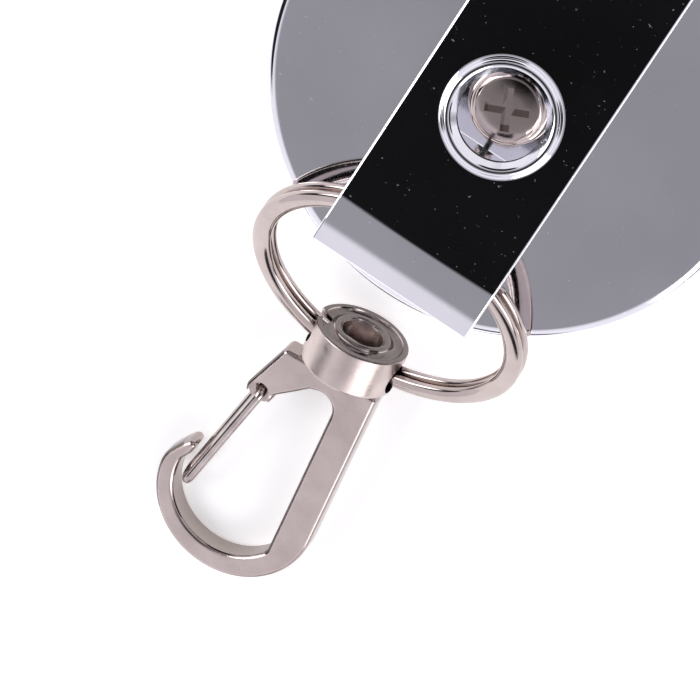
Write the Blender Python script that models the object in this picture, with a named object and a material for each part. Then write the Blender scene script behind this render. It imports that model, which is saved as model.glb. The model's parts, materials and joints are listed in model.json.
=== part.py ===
"""Retractable badge reel: chrome case, belt clip, split ring and swivel hook.

The case lies on its flat front face at z = 0, its axis is Z, and the belt clip is on its
back, on top. The clip's bend is towards +Y; the ring and the hook lie towards -Y.
All the sizes below are in millimetres, and MM turns them into metres.
"""
import math

import bmesh
import bpy
from mathutils import Matrix, Vector

MM = 0.001

# Case
CASE_RADIUS = 20.0
CASE_HEIGHT = 13.5
EDGE_ROUND = 1.0            # rounded edge of both case shells
FLOOR = 1.0                 # thickness of the front and the back
SPLIT_HEIGHT = 7.0          # where the two shells meet
SPLIT_GAP = 0.2
LIP_OUTER = 18.85           # spigot of the front shell inside the back shell
LIP_INNER = 18.1
LIP_TOP = 8.6
BACK_WALL_INNER = 19.1
BACK = CASE_HEIGHT          # height of the outer back face

# Post, spool and spring
POST_RADIUS = 2.4
POST_FOOT_RADIUS = 4.0
POST_BOTTOM = 1.3
POST_TOP = 12.2
SPOOL_BORE = 2.5
SPOOL_HUB = 4.5
SPOOL_RADIUS = 17.6
SPOOL_WALL = 0.8
SPOOL_BOTTOM = 2.6
WEB_BOTTOM = 7.8
WEB_TOP = 8.6
FLANGE_BOTTOM = 11.2
FLANGE_TOP = 11.8
FLANGE_RADIUS = 7.3
SPRING_TURNS = 6.0
SPRING_INNER = 3.0
SPRING_OUTER = 16.2
SPRING_THICKNESS = 0.25

# Cord and its outlet
CORD_RADIUS = 0.25
OUTLET_Y = -8.3
OUTLET_HOLE = 1.75
LOOP_RADIUS = 1.25          # centre line of the cord's loop round the ring
CRIMP_RADIUS = 0.8
CRIMP_START = 1.7           # from the ring wire's centre
CRIMP_LENGTH = 1.6

# Belt clip
STRIP = 0.8
CLIP_WIDTH = 14.2
CLIP_BASE_BOTTOM = BACK + 0.3
CLIP_BASE_END = -4.6
CLIP_BEND_Y = 15.0
CLIP_BEND_INNER = 0.5
CLIP_BEND_CENTRE = CLIP_BASE_BOTTOM + STRIP + CLIP_BEND_INNER
CLIP_SLOPE = math.radians(10.8)
CLIP_KNEES = ((-11.8, 0.0), (-14.2, math.radians(-9.0)))    # y of each fold and the slope after it
CLIP_TIP_LENGTH = 1.8
BEND_SPLIT = math.radians(9.5)   # half the gap between the two leaves, at the bend
ACCESS_HOLE = 3.45
ACCESS_RIM = 4.6
ACCESS_RIM_HEIGHT = 0.55

# Screw that holds the clip to the post
SCREW_RADIUS = 1.0
SCREW_HEAD_RADIUS = 3.1
SCREW_HEAD_BOTTOM = BACK + 2.0
SCREW_HEAD_TOP = BACK + 3.7
SCREW_TIP = 7.8
CLEARANCE_HOLE = 1.3

# Split ring, resting on the case's back edge
RING_RADIUS = 11.45         # centre line
WIRE = 0.92                 # radius of the section that the two coils make together
RING_X = 0.3
RING_Y = -20.4
RING_Z = BACK - 1.8
RING_SLOPE = math.radians(38.0)

# Swivel head
HEAD_ON_RING = math.radians(1.3)     # how far round the ring the head has slid
YAW = math.radians(7.3)              # the head and the hook hang askew on the ring
DROP = math.radians(6.5)             # the hook's tail is lower than its head
ROLL = math.radians(5.0)             # the hook's spine is higher than its gate
HEAD_RADIUS = 4.1
HEAD_BELOW_WIRE = 1.7
HEAD_ABOVE_WIRE = 2.1
HEAD_WINDOW = 1.8
HEAD_FLOOR = 0.65
WIRE_HOLE = 1.02
TILT_MIN = math.radians(-32.0)       # the cross hole leaves room for this much tilt
TILT_MAX = math.radians(45.0)
PIN_RADIUS = 1.0
PIN_HEAD = 1.4
PIN_PLAY = 0.2              # room round the pin

# Hook, in its own outline plane: u to the spine side, t towards the tail
HOOK_GAP = 0.5              # between the head and the hook's platform
HOOK_THICKNESS = 2.4
HOOK_BEVEL = 0.35
SPINE_OUTER = 3.6
SPINE_INNER = 0.6
BOW_CENTRE = (-3.7, 15.5)
BOW_RADIUS = 7.3
BOW_INNER_CENTRE = (-3.95, 15.25)
BOW_INNER_RADIUS = 5.5
THROAT = (-0.9, 3.55)
THROAT_RADIUS = 1.5
EAR = (-5.7, 4.8)           # the gate turns about this point
EAR_RADIUS = 1.25
RECESS = 0.85               # half the width of the recess round each leg of the gate
GATE_WIRE = 0.45
GATE_LEG = 0.95             # half the distance between the gate's two legs
GATE_TIP = (-8.5, 16.4)
GATE_OPENING = math.radians(25.0)
TANG = 0.4                  # half the ear's thickness between the gate's legs


# ---------------------------------------------------------------- tools

def clear_scene():
    for thing in list(bpy.data.objects):
        bpy.data.objects.remove(thing, do_unlink=True)


def material(name, colour, metallic, roughness):
    made = bpy.data.materials.new(name)
    made.use_nodes = True
    shader = made.node_tree.nodes["Principled BSDF"]
    shader.inputs["Base Color"].default_value = (*colour, 1.0)
    shader.inputs["Metallic"].default_value = metallic
    shader.inputs["Roughness"].default_value = roughness
    return made


def chrome(name):
    return material(name, (0.72, 0.72, 0.74), 1.0, 0.08)


def nickel(name):
    return material(name, (0.66, 0.61, 0.57), 1.0, 0.18)


def plastic(name):
    return material(name, (0.86, 0.86, 0.84), 0.0, 0.45)


def spring_steel(name):
    return material(name, (0.45, 0.46, 0.50), 1.0, 0.30)


def braided(name):
    return material(name, (0.03, 0.03, 0.03), 0.0, 0.75)


def add_object(name, mesh, made_material, place=None):
    """Put a mesh in the scene, in millimetres under the matrix that places it."""
    mesh.transform(Matrix.Scale(MM, 4))
    thing = bpy.data.objects.new(name, mesh)
    bpy.context.collection.objects.link(thing)
    if made_material is not None:
        mesh.materials.append(made_material)
    if place is not None:
        moved = place.copy()
        moved.translation = place.translation * MM
        thing.matrix_world = moved
    return thing


def smooth(mesh, angle=35.0):
    mesh.shade_smooth()
    mesh.set_sharp_from_angle(angle=math.radians(angle))


def mesh_from(name, verts, faces):
    mesh = bpy.data.meshes.new(name)
    mesh.from_pydata([tuple(v) for v in verts], [], faces)
    work = bmesh.new()
    work.from_mesh(mesh)
    bmesh.ops.recalc_face_normals(work, faces=work.faces)
    work.to_mesh(mesh)
    work.free()
    mesh.update()
    return mesh


def turned_mesh(name, outline, steps):
    """Turn a closed outline of (radius, height) points about Z. Radius 0 is a pole."""
    verts, rings = [], []
    for radius, height in outline:
        if radius == 0.0:
            rings.append([len(verts)])
            verts.append((0.0, 0.0, height))
            continue
        rings.append(list(range(len(verts), len(verts) + steps)))
        for step in range(steps):
            angle = 2 * math.pi * step / steps
            verts.append((radius * math.cos(angle), radius * math.sin(angle), height))
    faces = []
    for first, second in zip(rings, rings[1:] + rings[:1]):
        if len(first) == 1 and len(second) == 1:
            continue
        for step in range(steps):
            after = (step + 1) % steps
            if len(first) == 1:
                faces.append((first[0], second[step], second[after]))
            elif len(second) == 1:
                faces.append((first[step], first[after], second[0]))
            else:
                faces.append((first[step], first[after], second[after], second[step]))
    return mesh_from(name, verts, faces)


def turned(name, outline, steps, made_material, place=None):
    mesh = turned_mesh(name, outline, steps)
    smooth(mesh)
    return add_object(name, mesh, made_material, place)


def extruded_mesh(name, outline, low, high, axis="Z"):
    """Extrude a closed outline; axis X takes (y, z) points, axis Z takes (x, y) points."""
    count = len(outline)
    verts = []
    for level in (low, high):
        for a, b in outline:
            verts.append((level, a, b) if axis == "X" else (a, b, level))
    faces = [tuple(range(count)), tuple(range(count, 2 * count))]
    for i in range(count):
        j = (i + 1) % count
        faces.append((i, j, count + j, count + i))
    return mesh_from(name, verts, faces)


def tube_mesh(name, path, radius, sides=8):
    """A round wire along a list of points, closed with flat ends."""
    points = [Vector(p) for p in path]
    verts, faces = [], []
    normal = None
    for i, point in enumerate(points):
        before = points[max(i - 1, 0)]
        after = points[min(i + 1, len(points) - 1)]
        tangent = (after - before).normalized()
        if normal is None:
            normal = tangent.orthogonal()
        normal = (normal - tangent * normal.dot(tangent)).normalized()
        side = tangent.cross(normal)
        for step in range(sides):
            angle = 2 * math.pi * step / sides
            verts.append(point + radius * (math.cos(angle) * normal + math.sin(angle) * side))
    for i in range(len(points) - 1):
        for step in range(sides):
            after = (step + 1) % sides
            low, high = i * sides, (i + 1) * sides
            faces.append((low + step, low + after, high + after, high + step))
    faces.append(tuple(range(sides)))
    faces.append(tuple(range((len(points) - 1) * sides, len(points) * sides)))
    return mesh_from(name, verts, faces)


def arc(centre, radius, start, end, steps):
    """Points round part of a circle, from one angle to another, in degrees."""
    points = []
    for step in range(steps + 1):
        angle = math.radians(start + (end - start) * step / steps)
        points.append((centre[0] + radius * math.cos(angle), centre[1] + radius * math.sin(angle)))
    return points


def boolean(target, cutter, operation):
    """Join a cutter or a boss into the target; the helper object isn't part of the model."""
    cutter.hide_render = True
    cutter.display_type = "WIRE"
    change = target.modifiers.new(operation.title() + " " + cutter.name, "BOOLEAN")
    change.operation = operation
    change.solver = "EXACT"
    change.object = cutter


def frame_matrix(origin, x_axis, y_axis, z_axis):
    made = Matrix.Identity(4)
    for column, axis in enumerate((x_axis, y_axis, z_axis)):
        for row in range(3):
            made[row][column] = axis[row]
    made.translation = origin
    return made


# ---------------------------------------------------------------- frames

def ring_frame():
    """Origin at the ring's centre, Y up its slope, Z along its normal."""
    x_axis = Vector((1, 0, 0))
    y_axis = Vector((0, math.cos(RING_SLOPE), math.sin(RING_SLOPE)))
    return frame_matrix(Vector((RING_X, RING_Y, RING_Z)), x_axis, y_axis, x_axis.cross(y_axis))


def axis_towards_case():
    """Direction from the hook's tail to its head."""
    return Vector((-math.sin(YAW), math.cos(YAW) * math.cos(DROP), math.sin(DROP))).normalized()


def wire_in_head():
    """Centre and direction of the ring's wire where the head hangs on it."""
    ring, turn = ring_frame(), HEAD_ON_RING
    centre = ring @ Vector((RING_RADIUS * math.sin(turn), -RING_RADIUS * math.cos(turn), 0))
    return centre, ring.to_3x3() @ Vector((math.cos(turn), math.sin(turn), 0))


def head_frame():
    """Origin at the wire's centre inside the head, Z along the head."""
    centre, tangent = wire_in_head()
    z_axis = axis_towards_case()
    x_axis = (tangent - z_axis * tangent.dot(z_axis)).normalized()
    return frame_matrix(centre, x_axis, z_axis.cross(x_axis), z_axis)


def wire_frame():
    """Origin at the wire's centre inside the head, X along the wire."""
    centre, tangent = wire_in_head()
    z_axis = axis_towards_case()
    z_axis = (z_axis - tangent * tangent.dot(z_axis)).normalized()
    return frame_matrix(centre, tangent, z_axis.cross(tangent), z_axis)


def hook_frame():
    """Origin on the swivel axis at the platform, X = u, Y = t, Z into the flat face."""
    up_axis = axis_towards_case()
    level = up_axis.cross(Vector((0, 0, 1))).normalized()
    face = up_axis.cross(level) * -1
    u_axis = math.cos(ROLL) * level + math.sin(ROLL) * face
    t_axis = -up_axis
    origin = wire_in_head()[0] - up_axis * (HEAD_BELOW_WIRE + HOOK_GAP)
    return frame_matrix(origin, u_axis, t_axis, u_axis.cross(t_axis))


def ring_top():
    """Centre of the wire at the ring's highest point, where the cord's loop holds it."""
    return ring_frame() @ Vector((0, RING_RADIUS, 0))


# ---------------------------------------------------------------- case

def front_shell():
    edge = CASE_RADIUS - EDGE_ROUND
    outline = [(0.0, 0.0)] + arc((edge, EDGE_ROUND), EDGE_ROUND, -90, 0, 4)
    outline += [(CASE_RADIUS, SPLIT_HEIGHT), (LIP_OUTER, SPLIT_HEIGHT), (LIP_OUTER, LIP_TOP)]
    outline += [(LIP_INNER, LIP_TOP), (LIP_INNER, FLOOR), (0.0, FLOOR)]
    turned("front_shell", outline, 64, chrome("front_shell_chrome"))


def back_shell():
    edge = CASE_RADIUS - EDGE_ROUND
    low = SPLIT_HEIGHT + SPLIT_GAP
    outline = [(CLEARANCE_HOLE, BACK - FLOOR), (BACK_WALL_INNER, BACK - FLOOR)]
    outline += [(BACK_WALL_INNER, low), (CASE_RADIUS, low)]
    outline += arc((edge, BACK - EDGE_ROUND), EDGE_ROUND, 0, 90, 6)
    outline += [(CLEARANCE_HOLE, BACK)]
    shell = turned("back_shell", outline, 64, chrome("back_shell_chrome"))
    cutter = turned("outlet_cutter", [(0.0, BACK - 3), (OUTLET_HOLE, BACK - 3),
                                      (OUTLET_HOLE, BACK + 3), (0.0, BACK + 3)], 24, None,
                    Matrix.Translation((RING_X, OUTLET_Y, 0)))
    boolean(shell, cutter, "DIFFERENCE")


def outlet_eyelet():
    outline = [(0.85, 12.05), (2.05, 12.05), (2.05, 12.3), (1.5, 12.3), (1.5, BACK + 0.2),
               (2.3, BACK + 0.2)]
    outline += arc((2.05, BACK + 0.4), 0.25, 0, 90, 3)
    outline += arc((1.15, BACK + 0.35), 0.3, 90, 180, 3)
    turned("outlet_eyelet", outline, 24, nickel("outlet_eyelet_nickel"),
           Matrix.Translation((RING_X, OUTLET_Y, 0)))


def center_post():
    outline = [(0.0, POST_BOTTOM), (POST_FOOT_RADIUS, POST_BOTTOM), (POST_FOOT_RADIUS, 2.1)]
    outline += [(POST_RADIUS, 2.1), (POST_RADIUS, POST_TOP), (1.2, POST_TOP), (1.2, 7.0), (0.0, 7.0)]
    turned("center_post", outline, 32, spring_steel("center_post_steel"))


# ---------------------------------------------------------------- spool and spring

def spool():
    wall = SPOOL_RADIUS - SPOOL_WALL
    outline = [(SPOOL_BORE, WEB_BOTTOM), (wall, WEB_BOTTOM), (wall, SPOOL_BOTTOM)]
    outline += [(SPOOL_RADIUS, SPOOL_BOTTOM), (SPOOL_RADIUS, WEB_TOP), (SPOOL_HUB, WEB_TOP)]
    outline += [(SPOOL_HUB, FLANGE_BOTTOM), (FLANGE_RADIUS, FLANGE_BOTTOM)]
    outline += [(FLANGE_RADIUS, FLANGE_TOP), (SPOOL_BORE, FLANGE_TOP)]
    turned("spool", outline, 48, plastic("spool_plastic"))


def spring_cover():
    low, high = 1.7, 2.3
    hole = POST_FOOT_RADIUS + 0.4
    outline = [(hole, low), (SPOOL_RADIUS, low), (SPOOL_RADIUS, high), (hole, high)]
    turned("spring_cover", outline, 48, plastic("spring_cover_plastic"))


def power_spring():
    """A flat ribbon wound in a spiral, from the post to the spool's wall."""
    steps = int(SPRING_TURNS * 24)
    inner, outer = [], []
    for step in range(steps + 1):
        share = step / steps
        angle = 2 * math.pi * SPRING_TURNS * share
        radius = SPRING_INNER + (SPRING_OUTER - SPRING_INNER) * share
        for side, line in ((0.0, inner), (SPRING_THICKNESS, outer)):
            line.append(((radius + side) * math.cos(angle), (radius + side) * math.sin(angle)))
    mesh = strip_mesh("power_spring", inner, outer, SPOOL_BOTTOM + 0.3, WEB_BOTTOM - 0.3)
    smooth(mesh)
    add_object("power_spring", mesh, spring_steel("power_spring_steel"))


def strip_mesh(name, inner, outer, low, high, axis="Z"):
    """A bent strip between two matching lines of points, from one level to another."""
    verts, faces = [], []
    for first, second in zip(inner, outer):
        for a, b in (first, second):
            for level in (low, high):
                verts.append((level, a, b) if axis == "X" else (a, b, level))
    for i in range(len(inner) - 1):
        a, b = 4 * i, 4 * (i + 1)
        faces += [(a, b, b + 1, a + 1), (a + 1, b + 1, b + 3, a + 3)]
        faces += [(a + 3, b + 3, b + 2, a + 2), (a + 2, b + 2, b, a)]
    last = 4 * (len(inner) - 1)
    faces += [(0, 1, 3, 2), (last, last + 2, last + 3, last + 1)]
    return mesh_from(name, verts, faces)


# ---------------------------------------------------------------- cord

def wound_cord():
    low, high = WEB_TOP + 0.2, FLANGE_BOTTOM - 0.2
    outline = [(SPOOL_HUB + 0.2, low), (6.6, low)] + arc((6.6, low + 0.3), 0.3, -90, 0, 2)[1:]
    outline += arc((6.6, high - 0.3), 0.3, 0, 90, 2) + [(SPOOL_HUB + 0.2, high)]
    turned("wound_cord", outline, 48, braided("wound_cord_braid"))


def smooth_path(points, per_span):
    """Read a smooth curve through the points (Catmull-Rom)."""
    points = [Vector(p) for p in points]
    full = [2 * points[0] - points[1]] + points + [2 * points[-1] - points[-2]]
    path = []
    for i in range(1, len(full) - 2):
        a, b, c, d = full[i - 1:i + 3]
        for step in range(per_span):
            t = step / per_span
            path.append(0.5 * (2 * b + (c - a) * t + (2 * a - 5 * b + 4 * c - d) * t * t
                               + (3 * b - a - 3 * c + d) * t ** 3))
    return path + [points[-1]]


def cord_lead():
    """From the outer turn on the spool, up through the eyelet and round into the crimp."""
    end = ring_top() + Vector((0, CRIMP_START + CRIMP_LENGTH + 0.2, 0))
    route = [(3.6, -6.3, 10.0), (2.2, -7.3, 10.0), (1.0, -8.0, 10.2), (RING_X + 0.1, OUTLET_Y, 11.2)]
    route += [(RING_X, OUTLET_Y, 12.4), (RING_X, OUTLET_Y, BACK + 0.5)]
    route += [(RING_X, OUTLET_Y + 0.5, BACK + 1.9), (RING_X, OUTLET_Y + 1.4, end.z - 1.9)]
    route += [(RING_X, OUTLET_Y + 1.7, end.z - 0.9), (RING_X, OUTLET_Y + 1.2, end.z - 0.1), tuple(end)]
    mesh = tube_mesh("cord_lead", smooth_path(route, 3), CORD_RADIUS)
    smooth(mesh, 60)
    add_object("cord_lead", mesh, braided("cord_lead_braid"))


def cord_loop():
    """The cord's end loop, a closed ring round the split ring's wire."""
    top = ring_top()
    outline = arc((LOOP_RADIUS, 0.0), CORD_RADIUS, 0, 315, 7)
    place = frame_matrix(top, Vector((0, 1, 0)), Vector((0, 0, 1)), Vector((1, 0, 0)))
    turned("cord_loop", outline, 24, braided("cord_loop_braid"), place)


def cord_crimp():
    """The metal tube that closes the loop."""
    start = ring_top() + Vector((0, CRIMP_START, 0))
    place = frame_matrix(start, Vector((1, 0, 0)), Vector((0, 0, -1)), Vector((0, 1, 0)))
    outline = [(0.0, 0.0), (CRIMP_RADIUS - 0.15, 0.0), (CRIMP_RADIUS, 0.15),
               (CRIMP_RADIUS, CRIMP_LENGTH - 0.15), (CRIMP_RADIUS - 0.15, CRIMP_LENGTH),
               (0.0, CRIMP_LENGTH)]
    turned("cord_crimp", outline, 16, nickel("cord_crimp_nickel"), place)


# ---------------------------------------------------------------- clip

def bend_points(start, end, radius, steps):
    """Points round the clip's bend; angle 0 points to +Y, 90 degrees is up."""
    return arc((CLIP_BEND_Y, CLIP_BEND_CENTRE), radius, math.degrees(start), math.degrees(end), steps)


def clip_base():
    inner = [(CLIP_BASE_END, CLIP_BASE_BOTTOM + STRIP)]
    inner += bend_points(-math.pi / 2, -BEND_SPLIT, CLIP_BEND_INNER, 5)
    outer = [(CLIP_BASE_END, CLIP_BASE_BOTTOM)]
    outer += bend_points(-math.pi / 2, -BEND_SPLIT, CLIP_BEND_INNER + STRIP, 5)
    half = CLIP_WIDTH / 2 - 1.0
    mesh = strip_mesh("clip_base", inner, outer, -half, half, "X")
    base = add_object("clip_base", mesh, chrome("clip_base_chrome"))
    cutter = turned("base_screw_hole", [(0.0, BACK), (CLEARANCE_HOLE, BACK),
                                        (CLEARANCE_HOLE, BACK + 3), (0.0, BACK + 3)], 24, None)
    boolean(base, cutter, "DIFFERENCE")


def tongue_line(radius):
    """Side view of the tongue's inner or outer face, from the bend to the tip."""
    top = math.pi / 2 - CLIP_SLOPE
    line = bend_points(BEND_SPLIT, top, radius, 5)
    offset = radius - CLIP_BEND_INNER
    y, z = bend_points(top, top, CLIP_BEND_INNER, 1)[0]
    slope, spread = CLIP_SLOPE, 0.15
    for fold_y, after in CLIP_KNEES:
        z += math.tan(slope) * (y - fold_y)
        y = fold_y
        for share in (0.0, 0.5, 1.0):
            angle = slope + (after - slope) * share
            shift = spread * (1 - 2 * share) if offset == 0.0 else 0.0
            line.append((y + offset * math.sin(angle) + shift * math.cos(angle),
                         z + offset * math.cos(angle) - shift * math.sin(angle)))
        slope = after
    y -= math.cos(slope) * CLIP_TIP_LENGTH
    z += math.sin(slope) * CLIP_TIP_LENGTH
    line.append((y + offset * math.sin(slope), z + offset * math.cos(slope)))
    return line


def clip_tongue():
    inner = tongue_line(CLIP_BEND_INNER)
    outer = tongue_line(CLIP_BEND_INNER + STRIP)
    mesh = strip_mesh("clip_tongue", inner, outer, -CLIP_WIDTH / 2, CLIP_WIDTH / 2, "X")
    tongue = add_object("clip_tongue", mesh, chrome("clip_tongue_chrome"))
    boolean(tongue, access_rim(), "UNION")
    place = tongue_frame()
    cutter = turned("access_cutter", [(0.0, -3), (ACCESS_HOLE, -3), (ACCESS_HOLE, 3), (0.0, 3)],
                    32, None, place)
    boolean(tongue, cutter, "DIFFERENCE")


def tongue_frame():
    """On the tongue's outer face above the screw, Z square to the tongue."""
    top = math.pi / 2 - CLIP_SLOPE
    start = bend_points(top, top, CLIP_BEND_INNER + STRIP, 1)[0]
    length = start[0] / math.cos(CLIP_SLOPE)
    height = start[1] + math.sin(CLIP_SLOPE) * length
    normal = Vector((0, math.sin(CLIP_SLOPE), math.cos(CLIP_SLOPE)))
    x_axis = Vector((1, 0, 0))
    return frame_matrix(Vector((0, 0, height)), x_axis, normal.cross(x_axis), normal)


def access_rim():
    outline = [(3.0, -0.4), (ACCESS_RIM, -0.4), (ACCESS_RIM, 0.1)]
    outline += arc((ACCESS_RIM - 0.5, 0.05), 0.5, 0, 90, 3)[1:]
    outline += [(3.0, ACCESS_RIM_HEIGHT)]
    return turned("access_rim", outline, 32, None, tongue_frame())


def screw_washer():
    low, high = BACK + 1.3, BACK + 1.8
    outline = [(CLEARANCE_HOLE, low), (3.4, low), (3.4, high), (CLEARANCE_HOLE, high)]
    turned("screw_washer", outline, 32, nickel("screw_washer_nickel"))


def clip_screw():
    """Pan head with a cross recess; its shank goes down into the post."""
    low, high = SCREW_HEAD_BOTTOM, SCREW_HEAD_TOP
    outline = [(0.0, SCREW_TIP), (0.6, SCREW_TIP), (SCREW_RADIUS, SCREW_TIP + 0.5), (SCREW_RADIUS, low)]
    outline += [(SCREW_HEAD_RADIUS, low), (SCREW_HEAD_RADIUS, low + 0.7)]
    outline += [(2.9, high - 0.45), (2.2, high - 0.12), (1.2, high), (0.0, high)]
    screw = turned("clip_screw", outline, 32, nickel("clip_screw_nickel"))
    arm, half = 1.75, 0.38
    cross = [(half, half), (half, arm), (-half, arm), (-half, half), (-arm, half), (-arm, -half),
             (-half, -half), (-half, -arm), (half, -arm), (half, -half), (arm, -half), (arm, half)]
    mesh = extruded_mesh("cross_cutter", cross, high - 0.9, high + 1.0)
    cutter = add_object("cross_cutter", mesh, None, Matrix.Rotation(math.radians(25), 4, "Z"))
    boolean(screw, cutter, "DIFFERENCE")


# ---------------------------------------------------------------- ring and swivel head

def split_ring():
    """Two coils of half-round wire lie against each other, with a groove between them."""
    groove = 0.16
    outline = arc((RING_RADIUS, 0), WIRE, 10, 170, 5) + [(RING_RADIUS - WIRE + groove, 0)]
    outline += arc((RING_RADIUS, 0), WIRE, 190, 350, 5) + [(RING_RADIUS + WIRE - groove, 0)]
    turned("split_ring", outline, 60, nickel("split_ring_nickel"), ring_frame())


def wire_cutter():
    """The room that the curved wire takes in the head, over the whole tilt."""
    stations, around = 9, 24
    reach = HEAD_RADIUS + 0.6
    head = wire_frame()
    to_centre = head.inverted().to_3x3() @ (ring_frame().translation - head.translation)
    bow = math.atan2(to_centre.z, to_centre.y)
    verts, faces = [], []
    for station in range(stations):
        x = -reach + 2 * reach * station / (stations - 1)
        shift = RING_RADIUS - math.sqrt(RING_RADIUS ** 2 - x * x)
        slope = abs(x) * 0.03
        for step in range(around):
            angle = 2 * math.pi * step / around
            off = nearest_turn(angle, bow + TILT_MIN, bow + TILT_MAX)
            radius = shift * math.cos(off) + math.sqrt(WIRE_HOLE ** 2 - (shift * math.sin(off)) ** 2)
            radius += slope
            verts.append((x, radius * math.cos(angle), radius * math.sin(angle)))
    for station in range(stations - 1):
        for step in range(around):
            after = (step + 1) % around
            low, high = station * around, (station + 1) * around
            faces.append((low + step, low + after, high + after, high + step))
    faces.append(tuple(range(around)))
    faces.append(tuple(range((stations - 1) * around, stations * around)))
    return add_object("wire_cutter", mesh_from("wire_cutter", verts, faces), None, head)


def nearest_turn(angle, low, high):
    """How far an angle lies outside a range of angles, 0 inside it, at most a quarter turn."""
    middle, half = (low + high) / 2, (high - low) / 2
    away = abs((angle - middle + math.pi) % (2 * math.pi) - math.pi)
    return min(max(away - half, 0.0), math.pi / 2)


def swivel_barrel():
    bottom, top = -HEAD_BELOW_WIRE, HEAD_ABOVE_WIRE
    floor = bottom + HEAD_FLOOR
    outline = [(PIN_RADIUS + PIN_PLAY, bottom), (HEAD_RADIUS - 0.3, bottom), (HEAD_RADIUS, bottom + 0.3)]
    outline += arc((HEAD_RADIUS - 0.25, top - 0.25), 0.25, 0, 90, 3)
    outline += [(3.15, top), (2.95, top - 0.25), (2.6, top - 0.25), (2.4, top), (HEAD_WINDOW + 0.15, top)]
    outline += [(HEAD_WINDOW, top - 0.15), (HEAD_WINDOW, floor), (PIN_HEAD + PIN_PLAY, floor)]
    outline += [(PIN_RADIUS + PIN_PLAY, bottom + 0.2)]
    barrel = turned("swivel_barrel", outline, 40, nickel("swivel_barrel_nickel"), head_frame())
    boolean(barrel, wire_cutter(), "DIFFERENCE")


def swivel_pin():
    """Peened in the head's floor, and fast in the hook's platform."""
    hook = hook_frame()
    up_axis = -(hook.to_3x3() @ Vector((0, 1, 0)))
    x_axis = hook.to_3x3() @ Vector((1, 0, 0))
    place = frame_matrix(hook.translation, x_axis, up_axis.cross(x_axis), up_axis)
    floor = HOOK_GAP + HEAD_FLOOR
    outline = [(0.0, -1.2), (PIN_RADIUS, -1.2), (PIN_RADIUS, HOOK_GAP + 0.3)]
    outline += [(PIN_HEAD, floor - 0.17), (PIN_HEAD - 0.1, floor - 0.1), (0.0, floor - 0.1)]
    turned("swivel_pin", outline, 24, nickel("swivel_pin_nickel"), place)


# ---------------------------------------------------------------- hook

def hook_outline():
    """Once round the hook: platform, spine, bow, nose, back inside, and the ear."""
    outline = [(-5.35, 0.35), (-5.0, 0.0), (SPINE_OUTER - 0.4, 0.0), (SPINE_OUTER, 0.4)]
    outline += arc(BOW_CENTRE, BOW_RADIUS, 0, 184, 18)
    outline += [(-10.5, 14.1), (-9.75, 12.9), (-9.2, 12.4), (-8.7, 12.6), (-8.85, 13.5)]
    outline += arc(BOW_INNER_CENTRE, BOW_INNER_RADIUS, 188, 36, 14)
    outline += [(SPINE_INNER, 17.7)] + arc(THROAT, THROAT_RADIUS, 0, -90, 4)
    outline += [(-1.9, 2.25), (-3.1, 3.4)]
    outline += arc(EAR, EAR_RADIUS, -10, 190, 8)
    return outline


def recess_outline():
    """Room for one leg of the gate over its whole swing."""
    closed = math.atan2(GATE_TIP[1] - EAR[1], GATE_TIP[0] - EAR[0])
    opened = closed - GATE_OPENING
    outline = arc(EAR, RECESS, math.degrees(closed) + 90, math.degrees(opened) + 270, 12)
    for side, angle in ((outline[-1], opened), (outline[0], closed)):
        outline.append((side[0] + 2.2 * math.cos(angle), side[1] + 2.2 * math.sin(angle)))
    return outline


def ear_relief():
    """The two recesses where the gate's legs lie beside the ear's tang."""
    tools = []
    for name, low, high in (("ear_relief_top", -3.0, -TANG), ("ear_relief_bottom", TANG, 3.0)):
        mesh = extruded_mesh(name, recess_outline(), low, high)
        tools.append(add_object(name, mesh, None, hook_frame()))
    return tools


def hook_body():
    mesh = extruded_mesh("hook_body", hook_outline(), -HOOK_THICKNESS / 2, HOOK_THICKNESS / 2)
    place = hook_frame()
    hook = add_object("hook_body", mesh, nickel("hook_body_nickel"), place)
    bevel = hook.modifiers.new("Edges", "BEVEL")
    bevel.width = HOOK_BEVEL * MM
    bevel.segments = 1
    bevel.limit_method = "ANGLE"
    bevel.angle_limit = math.radians(60)
    for tool in ear_relief():
        boolean(hook, tool, "DIFFERENCE")
    hole = [(0.0, -3), (GATE_WIRE + 0.1, -3), (GATE_WIRE + 0.1, 3), (0.0, 3)]
    at_ear = place @ Matrix.Translation((EAR[0], EAR[1], 0))
    boolean(hook, turned("gate_hole", hole, 16, None, at_ear), "DIFFERENCE")
    socket = place @ Matrix.Rotation(math.radians(90), 4, "X")
    depth = [(0.0, -1.0), (PIN_RADIUS + 0.1, -1.0), (PIN_RADIUS + 0.1, 1.5), (0.0, 1.5)]
    depth = [(radius, -height) for radius, height in depth]
    boolean(hook, turned("pin_socket", depth, 24, None, socket), "DIFFERENCE")


def hook_gate():
    """A hairpin of spring wire; its two ends turn in towards each other in the ear."""
    along = Vector((GATE_TIP[0] - EAR[0], GATE_TIP[1] - EAR[1], 0)).normalized()
    ear, tip = Vector((*EAR, 0)), Vector((*GATE_TIP, 0))
    across = Vector((0, 0, 1))
    corner = 0.62
    half = [ear + across * 0.12]
    for step in range(5):
        angle = math.radians(90 * step / 4)
        shift = corner * (1 - math.cos(angle)), GATE_LEG - corner + corner * math.sin(angle)
        half.append(ear + along * shift[0] + across * shift[1])
    for step in range(1, 5):
        angle = math.radians(90 * step / 4)
        root = tip - along * GATE_LEG
        if step == 1:
            half.append(root + across * GATE_LEG)
        half.append(root + along * GATE_LEG * math.sin(angle) + across * GATE_LEG * math.cos(angle))
    other = [Vector((p.x, p.y, -p.z)) for p in reversed(half[:-1])]
    mesh = tube_mesh("hook_gate", half + other, GATE_WIRE, 10)
    mesh.transform(Matrix.Translation(-ear))
    smooth(mesh, 60)
    place = hook_frame() @ Matrix.Translation(ear)
    add_object("hook_gate", mesh, spring_steel("hook_gate_steel"), place)


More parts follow.
